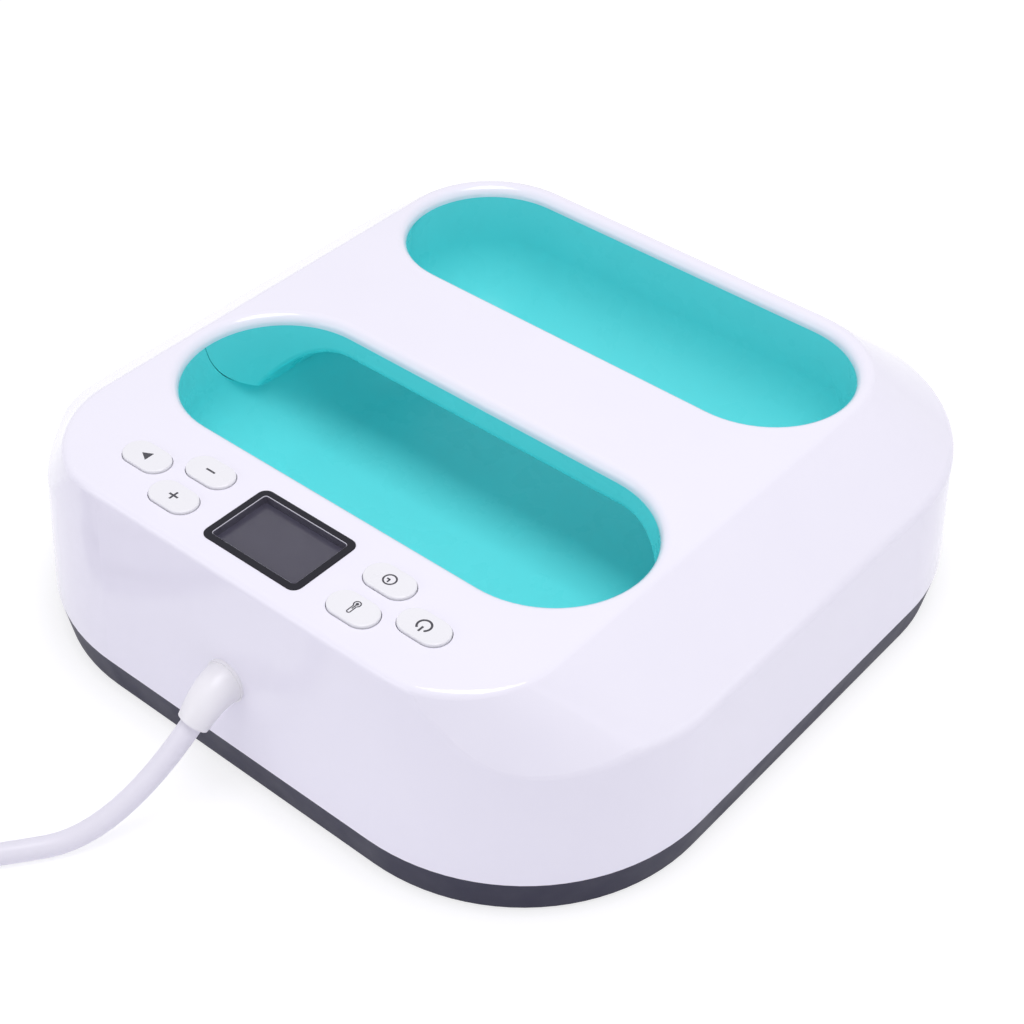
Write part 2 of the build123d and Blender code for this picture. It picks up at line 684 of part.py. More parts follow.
def make_heat_shield():
    """Bright folded hat over the blanket, with a flange on the ledge of the frame."""
    outside = shield_gap + shield_thickness
    shield = pack_layer(outside, split_z, shield_z + shield_thickness)
    shield += pack_layer(shield_flange_half - heater_half, split_z, split_z + shield_thickness)
    shield -= pack_layer(shield_gap, split_z - over, shield_z)
    for x, y, radius in pack_holes:
        shield -= hole(x, y, shield_z, shield_z + shield_thickness, radius)
    for x, y in shield_screws:
        shield -= hole(x, y, split_z, split_z + shield_thickness, small_screw.shank + hole_fit)
    return shield


def arch_lead(x, y, start_z, radius):
    """Insulated lead: straight up from a hot part, then a half turn over to the power board."""
    reach = (lead_y - y) / 2
    board_top = power_board_z + board_thickness
    path = Wire([
        Line((x, y, start_z), (x, y, board_top)),
        ThreePointArc((x, y, board_top), (x, y + reach, board_top + reach), (x, lead_y, board_top)),
    ])
    return tube(path, radius)


def tube(path, radius):
    """Round section along a path."""
    return sweep(Plane(origin=path @ 0, z_dir=path % 0) * Circle(radius), path=path)


def make_button(place):
    """Hollow push cap with a retaining rim below the skin and a stem over its switch."""
    cap = stadium_prism(place, button_length, button_width, skin_z - rim_thickness, top_z + button_proud)
    cap = fillet(cap.edges().group_by(Axis.Z)[-1], button_edge)
    cap += stadium_prism(place, button_length + 2 * button_flange, button_width + 2 * button_flange,
                         skin_z - rim_thickness, skin_z)
    hollow_z = top_z + button_proud - button_top_thickness
    foot_z = skin_z - rim_thickness
    cap -= stadium_prism(place, button_length - wall, button_width - wall, foot_z - over, hollow_z)
    cap += round_bar(*place, plunger_z + stem_gap, top_z, stem_radius)
    return cap


def make_switches():
    """Six small push switches on the control board, one under each button."""
    switches = []
    board_top = board_z + board_thickness
    for x, y in button_places.values():
        body = box_between((x - switch_half, x + switch_half), (y - switch_half, y + switch_half),
                           (board_top, board_top + switch_height))
        switches.append(body + round_bar(x, y, board_top + switch_height, plunger_z, plunger_radius))
    return Compound(switches)


def make_bezel():
    """Dark frame of the display: stepped so that it seats against the underside of the shell."""
    frame = slab(display_size, display_corner, skin_z, top_z + bezel_proud)
    frame = chamfer(frame.edges().group_by(Axis.Z)[-1], bezel_edge)
    frame += slab([d + 2 * bezel_rim for d in display_size], display_corner, skin_z - rim_thickness, skin_z)
    frame -= slab(window_size, window_corner, skin_z - rim_thickness - over, top_z + over)
    pocket = [d + 2 * (window_edge + window_fit) for d in window_size]
    frame -= slab(pocket, window_corner, skin_z - rim_thickness - over, window_top_z)
    half_x, half_y = [d / 2 + window_fit for d in window_size]
    sill = [e for e in frame.edges().group_by(Axis.Z)[-1]
            if abs(e.center().X) < half_x and abs(e.center().Y - strip_y) < half_y]
    return chamfer(sill, sill_bevel)


def slab(size, corner, z_low, z_high):
    """Rounded rectangle centred on the display."""
    sketch = Pos(0, strip_y, z_low) * RectangleRounded(size[0], size[1], corner)
    return extrude(sketch, amount=z_high - z_low)


def make_control_board():
    """Long circuit board under the control strip."""
    board = box_between((-board_half_x, board_half_x), board_y, (board_z, board_z + board_thickness))
    for x, y in board_bosses:
        board -= hole(x, y, board_z, board_z + board_thickness, board_screw.shank + hole_fit)
    return board


def make_power_board():
    """Circuit board on four posts behind the cord, notched round one screw boss of the shell."""
    board = box_between(power_board_x, power_board_y, (power_board_z, power_board_z + board_thickness))
    for x, y in power_posts:
        board -= round_bar(x, y, power_board_z - over, power_board_z + board_thickness + over,
                           board_screw.shank + hole_fit)
    notch_x, notch_y = shell_bosses[1]
    notch = shell_boss_radius + board_notch
    board -= box_between((notch_x - notch, notch_x + notch), (notch_y - notch, power_board_y[1] + 1),
                         (power_board_z - over, power_board_z + board_thickness + over))
    return board


def on_power_board(x_range, y_range, height):
    """Box-shaped component standing on the power board."""
    top = power_board_z + board_thickness
    return box_between(x_range, y_range, (top, top + height))


def make_mains_wires():
    """Three insulated wires from the end of the cord down into the terminal block."""
    wires = []
    for step in (-1, 0, 1):
        x = cord_x + step * wire_pitch
        y = sum(terminal_block_y) / 2 - step * wire_pitch
        down_x = sum(terminal_block_x) / 2
        route = FilletPolyline((x, tail_end_y, cord_z), (x, y, cord_z), (down_x, y, cord_z),
                               (down_x, y, power_board_z + board_thickness + terminal_block_height),
                               radius=wire_bend)
        wires.append(tube(Wire(route.edges()), wire_radius))
    return Compound(wires)


def make_clamp():
    """Strap over the cord, screwed down on the saddle."""
    strap_y = (saddle_y[0] + clamp_inset, saddle_y[1] - clamp_inset)
    strap = box_between((cord_x - clamp_half_x, cord_x + clamp_half_x), strap_y,
                        (cord_z, cord_z + clamp_thickness))
    arch = bar_along_y(*strap_y, notch_radius + clamp_arch)
    strap += arch & box_between((cord_x - saddle_half_x, cord_x + saddle_half_x), saddle_y,
                                (cord_z, cord_z + 2 * notch_radius))
    strap -= bar_along_y(saddle_y[0], saddle_y[1], notch_radius)
    for x in clamp_screw_x:
        strap -= hole(x, saddle_middle_y, cord_z, cord_z + clamp_thickness, board_screw.shank + hole_fit)
    return strap


def bar_along_y(y_low, y_high, radius):
    """Round bar on the middle line of the cord entry."""
    return Pos(cord_x, (y_low + y_high) / 2, cord_z) * Rot(90, 0, 0) * Cylinder(radius, y_high - y_low)


def make_strain_relief(shell):
    """Soft tapered boot: flange and neck in the wall, then a cone that droops with the cord."""
    line = Spline((cord_x, relief_collar_y, cord_z), relief_tip, tangents=[(0, 1, 0), tuple(cord_heading)])
    rings = []
    for step in range(relief_rings):
        share = step / (relief_rings - 1)
        radius = relief_root_radius + share * (relief_tip_radius - relief_root_radius)
        rings.append(Wire((Plane(origin=line @ share, z_dir=line % share) * Circle(radius)).edges()))
    boot = bar_along_y(relief_inner_y, relief_inner_y + relief_flange_thickness, relief_flange_radius)
    boot += bar_along_y(relief_collar_y - relief_collar_length, relief_collar_y, relief_collar_radius)
    boot += bar_along_y(relief_inner_y, relief_collar_y, relief_neck)
    boot -= shell
    boot += Solid.make_loft(rings)
    mouth = Plane(origin=cord_start(), z_dir=cord_heading) * Circle(cord_radius + relief_mouth)
    return boot - extrude(mouth, amount=2 * relief_mouth_depth)


def cord_start():
    """The cord begins at the bottom of the shallow mouth in the end of the boot."""
    return Vector(*relief_tip) - cord_heading * relief_mouth_depth


def make_cord_stretch():
    """The cord from the boot down to the floor and out to the coil, on straight runs and tangent arcs."""
    points = [cord_start()] + [Vector(*point) for point in cord_points[1:]]
    runs = [b - a for a, b in zip(points, points[1:])]
    radii = []
    for before, after in zip(runs, runs[1:]):
        half_turn = math.radians(before.get_angle(after)) / 2
        radii.append(bend_share * min(before.length, after.length) / math.tan(half_turn))
    path = Wire(FilletPolyline(*points, radius=radii).edges())
    cord = tube(path, cord_radius)
    print("cord bend radii", [round(r, 1) for r in radii])
    print("cord stretch length", round(path.length, 1), "section times length",
          round(math.pi * cord_radius ** 2 * path.length), "volume", round(cord.volume))
    return cord, path.length


def coil_edges():
    """Half turns inwards on the floor, one climbing half turn, then half turns outwards on top of them."""
    along = coil_heading
    across = Vector(along.Y, -along.X, 0)
    corner = Vector(*cord_points[-1])
    edges = [Line(tuple(corner), tuple(corner + along * coil_straight))]
    here = corner + along * coil_straight
    side = 1
    radii = [coil_radius - step * coil_pitch / 2 for step in range(coil_bottom_halves)]
    for radius in radii:
        top = here + across * (side * radius) + along * (side * radius)
        end = here + across * (side * 2 * radius)
        edges.append(ThreePointArc(tuple(here), tuple(top), tuple(end)))
        here = end
        side = -side
    radius = radii[-1] - coil_pitch / 2
    rise = Vector(0, 0, coil_pitch)
    reach = math.sqrt(radius ** 2 + (coil_pitch / 2) ** 2)
    middle = here + across * (side * radius) + along * (side * reach) + rise / 2
    end = here + across * (side * 2 * radius) + rise
    edges.append(Edge.make_tangent_arc(here, along * side, middle))
    slope = edges[-1] % 1
    edges.append(Edge.make_tangent_arc(middle, slope, end))
    here = end
    side = -side
    for step in range(coil_bottom_halves - 1):
        radius = radii[-1] + step * coil_pitch / 2
        top = here + across * (side * radius) + along * (side * radius)
        end = here + across * (side * 2 * radius)
        edges.append(ThreePointArc(tuple(here), tuple(top), tuple(end)))
        here = end
        side = -side
    edges.append(Line(tuple(here), tuple(here + along * plug_straight)))
    return edges, here + along * plug_straight, along


def self_gap(path):
    """Smallest clear distance between turns of the coil, from points along its centre line."""
    count = int(path.length / 3.0)
    points = [path @ (step / count) for step in range(count + 1)]
    apart = int(6 * cord_radius / 3.0)
    return min((points[a] - points[b]).length for a in range(count + 1)
               for b in range(a + apart, count + 1)) - 2 * cord_radius


def make_coil():
    """The rest of the cord as a neat coil of two layers."""
    edges, end, heading = coil_edges()
    path = Wire(edges)
    coil = tube(path, cord_radius)
    print("coil length", round(path.length, 1), "section times length",
          round(math.pi * cord_radius ** 2 * path.length), "volume", round(coil.volume),
          "clear distance between turns", round(self_gap(path), 2))
    return coil, path.length, end, heading


def make_plug(end, heading):
    """Moulded plug with a tapered neck, and its three pins."""
    plane = Plane(origin=end, x_dir=(-heading.Y, heading.X, 0), z_dir=heading)
    neck_rings = [Wire((plane.offset(z) * Circle(r)).edges()) for z, r in plug_neck]
    body = Solid.make_loft(neck_rings)
    start = plug_neck[-1][0]
    outline = plane.offset(start) * RectangleRounded(plug_width, plug_height, plug_corner)
    body += fillet(extrude(outline, amount=plug_length).edges(), plug_edge)
    face = plane.offset(start + plug_length)
    pins = []
    for side in (-1, 1):
        blade = face * Pos(side * pin_spacing / 2, pin_row) * Rectangle(blade_thickness, blade_width)
        pins.append(extrude(blade, amount=blade_length))
    ground = extrude(face * Pos(0, pin_row - ground_drop) * Circle(ground_radius), amount=ground_length)
    pins.append(fillet(ground.edges().sort_by(lambda e: (e.center() - face.origin).dot(heading))[-1:], 1.0))
    return body, Compound(pins)


def screw_set(places, seat_z, length, kind, up):
    """The same screw at several places, as separate solids."""
    return Compound([screw(x, y, seat_z, length, *kind, up) for x, y in places])


shell = make_shell()
save(shell, "upper_shell")
save(make_handle_underside(), "handle_underside")
save(make_well_liner(), "well_liner")
save(make_base_frame(), "base_frame")
save(make_heating_plate(), "heating_plate")
save(make_heating_element(), "heating_element")
save(make_clamp_plate(), "element_clamp_plate")
save(make_blanket(), "insulation_blanket")
save(make_heat_shield(), "heat_shield")
sensor_top = blanket_z + sensor_height
cutout_top = blanket_z + cutout_height
heater_leads = [arch_lead(x, terminal_y, terminal_top_z, heater_lead_radius) for x in terminal_x]
cutout_leads = [arch_lead(cutout_x + side * cutout_lead_spread, sensor_y, cutout_top, sensor_lead_radius)
                for side in (-1, 1)]
save(round_bar(sensor_x, sensor_y, blanket_z, sensor_top, sensor_radius), "temperature_sensor")
save(round_bar(cutout_x, sensor_y, blanket_z, cutout_top, cutout_radius), "thermal_cutout")
save(Compound(heater_leads), "heater_leads")
save(Compound([arch_lead(sensor_x, sensor_y, sensor_top, sensor_lead_radius)] + cutout_leads), "sensor_leads")
save(Compound([round_bar(x, y, plate_thickness, ledge_z, post_radius)
               - round_bar(x, y, plate_thickness - over, ledge_z + over, plate_screw.shank + hole_fit)
               for x, y in plate_posts]), "plate_standoffs")

board_top = power_board_z + board_thickness
cord_clamp_places = [(x, saddle_middle_y) for x in clamp_screw_x]
save(screw_set(shell_bosses, shell_screw_seat, shell_screw_length, small_screw, -1), "shell_screws")
save(screw_set(liner_bosses, liner_lug_z, liner_screw_length, small_screw, -1), "liner_screws")
save(screw_set(handle_bosses, handle_boss_z - lining_seat, handle_screw_length, small_screw, -1),
     "handle_screws")
save(screw_set(plate_posts, split_z, split_z - plate_hole_z - screw_end, plate_screw, 1), "plate_screws")
save(screw_set(clamp_screws, blanket_z, blanket_z - plate_hole_z - screw_end, plate_screw, 1),
     "clamp_plate_screws")
save(screw_set(shield_screws, split_z + shield_thickness, shield_screw_length, small_screw, 1),
     "shield_screws")
save(screw_set(board_bosses, board_z, board_screw_length, board_screw, -1), "board_screws")
save(screw_set(power_posts, board_top, board_screw_length, board_screw, 1), "power_board_screws")
save(screw_set(cord_clamp_places, cord_z + clamp_thickness, clamp_screw_length, board_screw, 1),
     "cord_clamp_screws")

for name, place in button_places.items():
    save(make_button(place), name)
save(make_bezel(), "lcd_bezel")
window_bottom_z = window_top_z - window_thickness
window_outline = [d + 2 * window_edge for d in window_size]
save(slab(window_outline, window_corner, window_bottom_z, window_top_z), "lcd_window")
save(slab(module_size, window_corner, board_z + board_thickness, window_bottom_z), "lcd_module")
save(make_control_board(), "control_board")
save(make_switches(), "button_switches")

save(make_power_board(), "power_board")
save(on_power_board(supply_x, supply_y, supply_height), "power_supply_module")
save(on_power_board(relay_x, relay_y, relay_height), "power_relay")
save(on_power_board(terminal_block_x, terminal_block_y, terminal_block_height), "terminal_block")
save(Pos(*fuse_place, board_top + fuse_radius) * Rot(90, 0, 0) * Cylinder(fuse_radius, fuse_length), "fuse")
save(round_bar(*buzzer_place, board_top, board_top + buzzer_height, buzzer_radius), "buzzer")
save(box_between(ribbon_x, ribbon_y, (board_top, board_z)), "signal_ribbon")
save(make_mains_wires(), "mains_wires")
save(bar_along_y(tail_end_y, relief_inner_y, cord_radius), "cord_tail")
save(make_clamp(), "cord_clamp")
save(make_strain_relief(shell), "strain_relief")

stretch, stretch_length = make_cord_stretch()
coil, coil_length, coil_end, plug_heading = make_coil()
plug_body, plug_pins = make_plug(coil_end, plug_heading)
save(stretch, "cord_stretch")
save(coil, "cord_coil")
save(plug_body, "plug_body")
save(plug_pins, "plug_pins")
print("whole cord outside the body", round(stretch_length + coil_length), "mm")
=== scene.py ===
# %% [markdown]
# # A handheld heat press
# The press is a low white box that is held by a bridge handle between two turquoise hand wells.
# Its solid pieces come from a imported CAD model, so their shapes and places are already right.
# This script gives them their finishes and adds what the solids leave plain: the printed signs on the
# buttons, the rounded frame of the display with a highlight painted on its chamfer, and a cord that lies
# like a real one.

import json
import math

import bmesh
import bpy
from mathutils import Matrix, Quaternion, Vector

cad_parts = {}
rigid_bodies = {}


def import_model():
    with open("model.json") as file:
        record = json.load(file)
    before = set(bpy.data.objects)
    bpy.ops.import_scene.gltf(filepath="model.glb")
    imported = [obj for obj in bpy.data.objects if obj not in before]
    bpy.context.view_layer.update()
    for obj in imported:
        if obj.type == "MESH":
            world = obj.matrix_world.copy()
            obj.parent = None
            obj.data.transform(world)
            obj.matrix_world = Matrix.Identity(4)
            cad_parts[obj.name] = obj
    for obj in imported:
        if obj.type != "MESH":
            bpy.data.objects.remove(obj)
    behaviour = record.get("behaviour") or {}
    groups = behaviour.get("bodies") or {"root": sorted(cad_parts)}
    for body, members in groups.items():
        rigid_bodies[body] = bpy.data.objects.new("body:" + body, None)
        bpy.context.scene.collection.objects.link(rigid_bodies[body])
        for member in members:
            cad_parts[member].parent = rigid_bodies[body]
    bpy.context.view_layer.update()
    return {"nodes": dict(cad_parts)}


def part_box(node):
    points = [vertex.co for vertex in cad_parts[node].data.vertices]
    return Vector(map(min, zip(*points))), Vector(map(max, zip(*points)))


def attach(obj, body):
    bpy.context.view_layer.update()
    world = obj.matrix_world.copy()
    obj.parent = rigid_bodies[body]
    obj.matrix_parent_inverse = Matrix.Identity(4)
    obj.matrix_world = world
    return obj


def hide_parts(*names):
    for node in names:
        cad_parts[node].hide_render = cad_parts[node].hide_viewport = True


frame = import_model()
nodes = frame["nodes"]
MM = 0.001

# %% [markdown]
# ## The camera
# A product picture like this one is taken from above one corner with a short telephoto lens, which
# keeps the far side from shrinking. The place and the direction below were found by matching
# corners of the model to the picture. A camera looks along its own -Z axis, so the
# direction is turned into a rotation first, and a small roll about that axis is added after it.

# %% Place the camera
camera_place = Vector((-0.36998, 0.45840, 0.53862))
camera_direction = Vector((0.47205, -0.59002, -0.65502))
camera_roll = math.radians(1.71)
CAMERA_LENS_MM = 69.97
SENSOR_WIDTH_MM = 36.0
NEAREST_SEEN = 10.0 * MM

camera_data = bpy.data.cameras.new("camera")
camera_data.lens = CAMERA_LENS_MM
camera_data.sensor_width = SENSOR_WIDTH_MM
camera_data.clip_start = NEAREST_SEEN
camera = bpy.data.objects.new("camera", camera_data)
camera.location = camera_place
camera.rotation_mode = "QUATERNION"
roll_turn = Quaternion((0, 0, 1), camera_roll)
camera.rotation_quaternion = camera_direction.to_track_quat("-Z", "Y") @ roll_turn
bpy.context.scene.collection.objects.link(camera)
bpy.context.scene.camera = camera
print("camera distance to the middle of the body:", round(camera_place.length, 3), "m")

# %% [markdown]
# ## The cord
# A mains cord is one flexible tube of a fixed length. It leaves the boot in the wall, sinks to the
# table in one bend and runs off in a slow curve. The rest of it is wound into a neat coil, as it
# would be for storage, and ends in its plug.
#
# A NURBS curve suits this: a few control points give one smooth line, and the bevel depth gives it
# thickness. The route's points are the same ones that the solid cord was drawn on. The turns of the
# coil are more points of the same spline, worked out with a loop.

# %% Points along the cord
CORD_RADIUS = 4.0 * MM
BOOT_TIP = Vector((2.2, 163.5, 38.5)) * MM
ROUTE = [Vector(point) * MM for point in (
    (9.2, 196.0, 4.0), (37.5, 235.3, 4.0), (64.8, 261.7, 4.0), (92.3, 281.7, 4.0))]
COIL_RADIUS = 57.0 * MM
COIL_PITCH = 8.7 * MM
BOTTOM_HALF_TURNS = 6
COIL_START = 8.0 * MM
PLUG_STRAIGHT = 36.0 * MM
MOUTH_DEPTH = 1.0 * MM
POINTS_PER_HALF_TURN = 9

first_direction = (ROUTE[0] - BOOT_TIP).normalized()
cord_points = [BOOT_TIP - first_direction * MOUTH_DEPTH] + ROUTE
along = (ROUTE[-1] - ROUTE[-2]).normalized()
across = Vector((along.y, -along.x, 0.0))


def add_half_turn(start, radius, side, rise):
    """Control points of one half turn. A control point sits a little outside the line it pulls."""
    step = math.pi / POINTS_PER_HALF_TURN
    pulled = radius / (0.75 + 0.25 * math.cos(step))
    centre = start + across * side * radius
    for index in range(POINTS_PER_HALF_TURN):
        angle = (index + 0.5) * step
        offset = -across * side * math.cos(angle) + along * side * math.sin(angle)
        lift = rise * (0.5 - 0.5 * math.cos(angle))
        cord_points.append(centre + offset * pulled + Vector((0.0, 0.0, lift)))
    return start + across * side * 2 * radius + Vector((0.0, 0.0, rise))


here = ROUTE[-1] + along * COIL_START
side = 1
radius = COIL_RADIUS
for half_turn in range(BOTTOM_HALF_TURNS):
    here = add_half_turn(here, radius, side, 0.0)
    radius -= COIL_PITCH / 2
    side = -side
here = add_half_turn(here, radius, side, COIL_PITCH)
for half_turn in range(BOTTOM_HALF_TURNS - 1):
    side = -side
    radius += COIL_PITCH / 2
    here = add_half_turn(here, radius, side, 0.0)
cord_points.append(here + along * PLUG_STRAIGHT)
print("control points of the cord:", len(cord_points))

# %% Draw the cord as one curve
# Each point's radius scales a bevel of one metre, so the curve's box is as thick as the cord.
ROUND_STEPS = 7
STEPS_ALONG = 12
cord_curve = bpy.data.curves.new("cord_line", "CURVE")
cord_curve.dimensions = "3D"
cord_curve.bevel_depth = 1.0
cord_curve.bevel_resolution = ROUND_STEPS
cord_curve.use_fill_caps = True
cord_spline = cord_curve.splines.new("NURBS")
cord_spline.points.add(len(cord_points) - 1)
for point, place in zip(cord_spline.points, cord_points):
    point.co = (*place, 1.0)
    point.radius = CORD_RADIUS
cord_spline.order_u = 3
cord_spline.use_endpoint_u = True
cord_spline.resolution_u = STEPS_ALONG
cord = bpy.data.objects.new("mains_cord", cord_curve)
bpy.context.scene.collection.objects.link(cord)

cord_length = cord_spline.calc_length()
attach(cord, "press")
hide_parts("cord_stretch", "cord_coil")
print("length of the cord:", round(cord_length, 3), "m")

# %% [markdown]
# ## Table, light and background
# The picture has the plain white ground of a catalogue. Here the table is a real plane that catches
# a soft shadow. The camera sees it partly as a glow, so that it stays white without more light on
# the press. Rays that reflect in the plastic see the same white room.
#
# The even white world, a bright panel above, whose edge shows in the glossy corner, two weak panels
# beside the press and the lit table light it. The last three lift the walls.

# %% One helper for nodes, one for colours
def linear(colour):
    """Turn an sRGB hex colour into the linear values that shaders use."""
    values = [int(colour[i:i + 2], 16) / 255 for i in (1, 3, 5)]
    return (*[v / 12.92 if v <= 0.04045 else ((v + 0.055) / 1.055) ** 2.4 for v in values], 1.0)


def add(tree, kind, settings=None, links=None):
    """Add a shader node. A setting goes to the socket of that name, or else to the property."""
    node = tree.nodes.new(kind)
    for name, value in (settings or {}).items():
        if isinstance(name, int) or name in node.inputs:
            node.inputs[name].default_value = value
        else:
            setattr(node, name, value)
    for name, socket in (links or {}).items():
        tree.links.new(socket, node.inputs[name])
    return node


def seen_rays(tree):
    """One for rays that the camera sees: straight, mirrored in a gloss or through a clear sheet."""
    rays = add(tree, "ShaderNodeLightPath")
    direct = add(tree, "ShaderNodeMath", {"operation": "MAXIMUM"},
                 {0: rays.outputs["Is Camera Ray"], 1: rays.outputs["Is Transmission Ray"]})
    seen = add(tree, "ShaderNodeMath", {"operation": "MAXIMUM"},
               {0: direct.outputs[0], 1: rays.outputs["Is Glossy Ray"]})
    return seen.outputs[0]


# %% The world and the table
# The press is lit by a dimmer room than the one that the camera sees, so the white plastic keeps its tone.
WORLD_COLOUR = "#FAF9FF"
WORLD_LEVEL = 0.56
GROUND_LEVEL = 1.0
TABLE_HALF_SIZE = 6.0
world = bpy.data.worlds.new("white_room")
bpy.context.scene.world = world
world.use_nodes = True
tree = world.node_tree
tree.nodes.clear()
room = add(tree, "ShaderNodeBackground", {"Color": linear(WORLD_COLOUR), "Strength": WORLD_LEVEL})
ground = add(tree, "ShaderNodeBackground", {"Color": (1, 1, 1, 1), "Strength": GROUND_LEVEL})
mixed = add(tree, "ShaderNodeMixShader", None,
            {0: seen_rays(tree), 1: room.outputs[0], 2: ground.outputs[0]})
add(tree, "ShaderNodeOutputWorld", None, {"Surface": mixed.outputs[0]})

table_mesh = bpy.data.meshes.new("table")
shape = bmesh.new()
bmesh.ops.create_grid(shape, x_segments=1, y_segments=1, size=TABLE_HALF_SIZE)
shape.to_mesh(table_mesh)
shape.free()
table = bpy.data.objects.new("table", table_mesh)
bpy.context.scene.collection.objects.link(table)
print("table:", 2 * TABLE_HALF_SIZE, "m wide, room light:", WORLD_LEVEL)

# %% Matt white table
# The paint has no gloss, so the eye gets a soft contact shadow and no mirror image of the press.
TABLE_GLOW = 0.72
TABLE_BOUNCE = 0.12
table_paint = bpy.data.materials.new("Matt white table paint")
table_paint.use_nodes = True
tree = table_paint.node_tree
tree.nodes.clear()
paint = add(tree, "ShaderNodeBsdfDiffuse", {"Color": linear("#EFEEF4")})
dim_paint = add(tree, "ShaderNodeBsdfDiffuse", {"Color": linear("#A8A8AC")})
glow = add(tree, "ShaderNodeEmission", {"Color": (1, 1, 1, 1), "Strength": TABLE_GLOW})
bright = add(tree, "ShaderNodeAddShader", None, {0: dim_paint.outputs[0], 1: glow.outputs[0]})
# This glow is painted bounce light: for the rays that light the press, the table shines like a dim lamp.
bounce = add(tree, "ShaderNodeEmission", {"Color": linear("#F6F5FC"), "Strength": TABLE_BOUNCE})
lit = add(tree, "ShaderNodeAddShader", None, {0: paint.outputs[0], 1: bounce.outputs[0]})
mixed = add(tree, "ShaderNodeMixShader", None,
            {0: seen_rays(tree), 1: lit.outputs[0], 2: bright.outputs[0]})
add(tree, "ShaderNodeOutputMaterial", None, {"Surface": mixed.outputs[0]})
table_mesh.materials.append(table_paint)
print(table_paint.name, "glows", TABLE_GLOW, "and lights the press with", TABLE_BOUNCE)


# %% Soft light panels
def light_panel(name, place, aim, size, power, colour):
    """A rectangular soft light that faces a point."""
    data = bpy.data.lights.new(name, "AREA")
    data.shape = "RECTANGLE"
    data.size, data.size_y = size
    data.energy = power
    data.color = linear(colour)[:3]
    lamp = bpy.data.objects.new(name, data)
    lamp.location = place
    lamp.rotation_mode = "QUATERNION"
    lamp.rotation_quaternion = (Vector(aim) - Vector(place)).to_track_quat("-Z", "Y")
    bpy.context.scene.collection.objects.link(lamp)
    print(name, "area", round(size[0] * size[1], 2), "m2")


BODY_MIDDLE = (0.0, 0.0, 0.05)
SIDE_PANEL = (1.2, 0.8)
SIDE_COLOUR = "#FAF9FF"
light_panel("overhead_panel", (-0.175, 0.075, 1.30), (-0.175, 0.075, 0.0), (0.75, 0.65), 7.6, "#FFFDFF")
light_panel("cord_side_panel", (0.60, 1.40, 0.50), BODY_MIDDLE, SIDE_PANEL, 3.2, SIDE_COLOUR)
light_panel("right_side_panel", (-1.50, -0.50, 0.50), BODY_MIDDLE, SIDE_PANEL, 1.6, SIDE_COLOUR)

# %% [markdown]
# ## Finishes of the covers
# The covers are injection-moulded ABS. The tool for the white shell was polished, so the plastic has
# a clear gloss, with the faint waviness of a moulded skin that shows only where a light's edge
# reflects. Its resin has a cool lavender tint. Each pattern below has a real size, given in
# millimetres, because the Object coordinates are in metres.

# %% A moulded plastic
def moulded_plastic(name, colour, shade, roughness, wave, grain, specular=0.5):
    """Moulded plastic: slight tint variation, a slow wave in the skin and a fine grain.

    The wave and the grain are each a pattern size and a height, in millimetres.
    """
    wave_mm, wave_height = wave
    grain_mm, grain_height = grain
    material = bpy.data.materials.new(name)
    material.use_nodes = True
    tree = material.node_tree
    tree.nodes.clear()
    place = add(tree, "ShaderNodeTexCoord").outputs["Object"]
    clouds = add(tree, "ShaderNodeTexNoise", {"Scale": 1 / (35 * MM), "Detail": 3.0, "Roughness": 0.5},
                 {"Vector": place})
    tint = add(tree, "ShaderNodeMix", {"data_type": "RGBA", 6: linear(colour), 7: linear(shade)},
               {0: clouds.outputs["Fac"]})
    patches = add(tree, "ShaderNodeTexNoise", {"Scale": 1 / (14 * MM), "Detail": 4.0}, {"Vector": place})
    gloss = add(tree, "ShaderNodeMapRange",
                {"From Min": 0.3, "From Max": 0.7, "To Min": roughness * 0.9, "To Max": roughness * 1.12},
                {"Value": patches.outputs["Fac"]})
    swell = add(tree, "ShaderNodeTexNoise", {"Scale": 1 / (wave_mm * MM), "Detail": 1.0}, {"Vector": place})
    skin = add(tree, "ShaderNodeBump", {"Strength": 1.0, "Distance": wave_height * MM},
               {"Height": swell.outputs["Fac"]})
    pores = add(tree, "ShaderNodeTexNoise", {"Scale": 1 / (grain_mm * MM), "Detail": 2.0}, {"Vector": place})
    skin = add(tree, "ShaderNodeBump", {"Strength": 1.0, "Distance": grain_height * MM},
               {"Height": pores.outputs["Fac"], "Normal": skin.outputs["Normal"]})
    plastic = add(tree, "ShaderNodeBsdfPrincipled", {"IOR": 1.53, "Specular IOR Level": specular},
                  {"Base Color": tint.outputs[2], "Roughness": gloss.outputs["Result"],
                   "Normal": skin.outputs["Normal"]})
    add(tree, "ShaderNodeOutputMaterial", None, {"Surface": plastic.outputs["BSDF"]})
    return material


def dress(material, *names):
    """Give a finish to CAD pieces."""
    for name in names:
        mesh = nodes[name].data
        mesh.materials.clear()
        mesh.materials.append(material)
    print(material.name, "on", ", ".join(names))


# %% White shell, turquoise wells, charcoal frame
# The polish gives a sharp light edge along the corner of the flat top.
white_abs = moulded_plastic("Polished white ABS", "#F2F0FA", "#EFEDF8", 0.10, (9.0, 0.002), (0.8, 0.0002))
dress(white_abs, "upper_shell")
# The satin skin hardly mirrors the room, so the wells stay saturated down in their shade.
turquoise_abs = moulded_plastic("Satin turquoise ABS", "#6FE9EC", "#6BE5E8", 0.28,
                                (9.0, 0.002), (0.6, 0.0006), 0.08)
dress(turquoise_abs, "handle_underside", "well_liner")
# The spark texture scatters light, so the frame reads as a flat dark band.
charcoal_nylon = moulded_plastic("Spark-textured charcoal nylon", "#28273E", "#24233A", 0.50,
                                 (8.0, 0.004), (0.5, 0.008), 0.22)
dress(charcoal_nylon, "base_frame", "cord_clamp")

